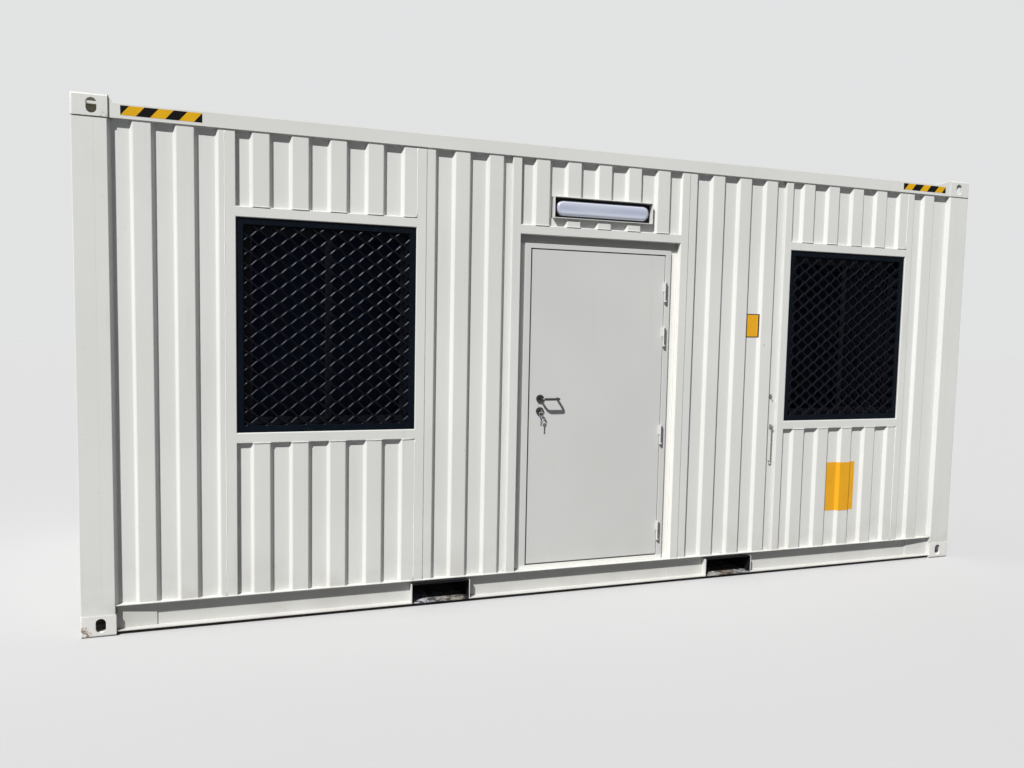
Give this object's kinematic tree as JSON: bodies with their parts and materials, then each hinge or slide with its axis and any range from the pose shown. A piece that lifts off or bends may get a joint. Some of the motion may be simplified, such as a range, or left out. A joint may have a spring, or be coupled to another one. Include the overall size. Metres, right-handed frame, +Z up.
{
  "type": "shipping container cabin",
  "caption": "Twenty-foot high-cube steel container fitted out as a cabin, with a hinged door, two barred windows and a lamp in its corrugated front wall.",
  "frame": {"origin": "on the ground under the middle of the cabin, in depth midway between the back castings and the front of the door lever", "axes": "+X along the length, to the right as the front is seen; +Y from the front to the back wall; +Z up"},
  "size_m": [6.058, 2.46, 2.896],
  "materials": {
    "white_paint": "satin white paint",
    "underbody_paint": "matt",
    "pocket_paint": "satin",
    "floor_board": "plain",
    "dark_aluminium": "dark coating",
    "glass": "clear",
    "black_steel": "gloss",
    "door_paint": "satin",
    "hinge_steel": "satin",
    "lever_metal": "satin",
    "key_metal": "plain",
    "lamp_cover": "translucent",
    "lining": "plain"
  },
  "bodies": {
    "cabin": {"castings_bottom_front": "white_paint", "castings_bottom_back": "white_paint", "castings_top_front": "white_paint", "castings_top_back": "white_paint", "corner_posts_front": "white_paint", "corner_posts_back": "white_paint", "top_rail_front": "white_paint", "top_rail_back": "white_paint", "top_end_rails": "white_paint", "bottom_rail_front": "white_paint", "bottom_rail_back": "white_paint", "bottom_end_rails": "white_paint", "cross_members": "underbody_paint", "fork_pockets": "pocket_paint", "floor_deck": "floor_board", "roof": "white_paint", "back_wall": "white_paint", "end_walls": "white_paint", "front_wall_left": "white_paint", "front_wall_window_left": "white_paint", "front_wall_mid_left": "white_paint", "front_wall_over_door": "white_paint", "front_wall_mid_right": "white_paint", "front_wall_window_right": "white_paint", "front_wall_right": "white_paint", "door_surround": "white_paint", "window_surrounds": "white_paint", "window_frames": "dark_aluminium", "window_panes": "glass", "grille_left": "black_steel", "grille_right": "black_steel", "door_frame": "door_paint", "frame_hinges": "hinge_steel", "lamp_housing": "white_paint", "lamp_cover": "lamp_cover", "door_holdback": "white_paint", "lining_front": "lining", "lining_over_door": "lining", "lining_back": "lining", "lining_ends": "lining", "ceiling": "lining"},
    "door": {"door_leaf": "door_paint", "leaf_hinges": "hinge_steel", "door_roses": "lever_metal", "door_key": "key_metal"},
    "handle": {"door_lever": "lever_metal"}
  },
  "joints": [
    {"name": "door_hinge", "type": "hinge", "parent": "cabin", "child": "door", "pos_m": [0.47351, -1.182, 1.2], "axis": [0, 0, 1], "range_deg": [0, 165]},
    {"name": "handle_turn", "type": "hinge", "parent": "door", "child": "handle", "pos_m": [-0.39699, -1.165, 1.276], "axis": [0, 1, 0], "range_deg": [0, 40], "stiffness_Nm_per_rad": 1, "springref_deg": -17.19}
  ]
}
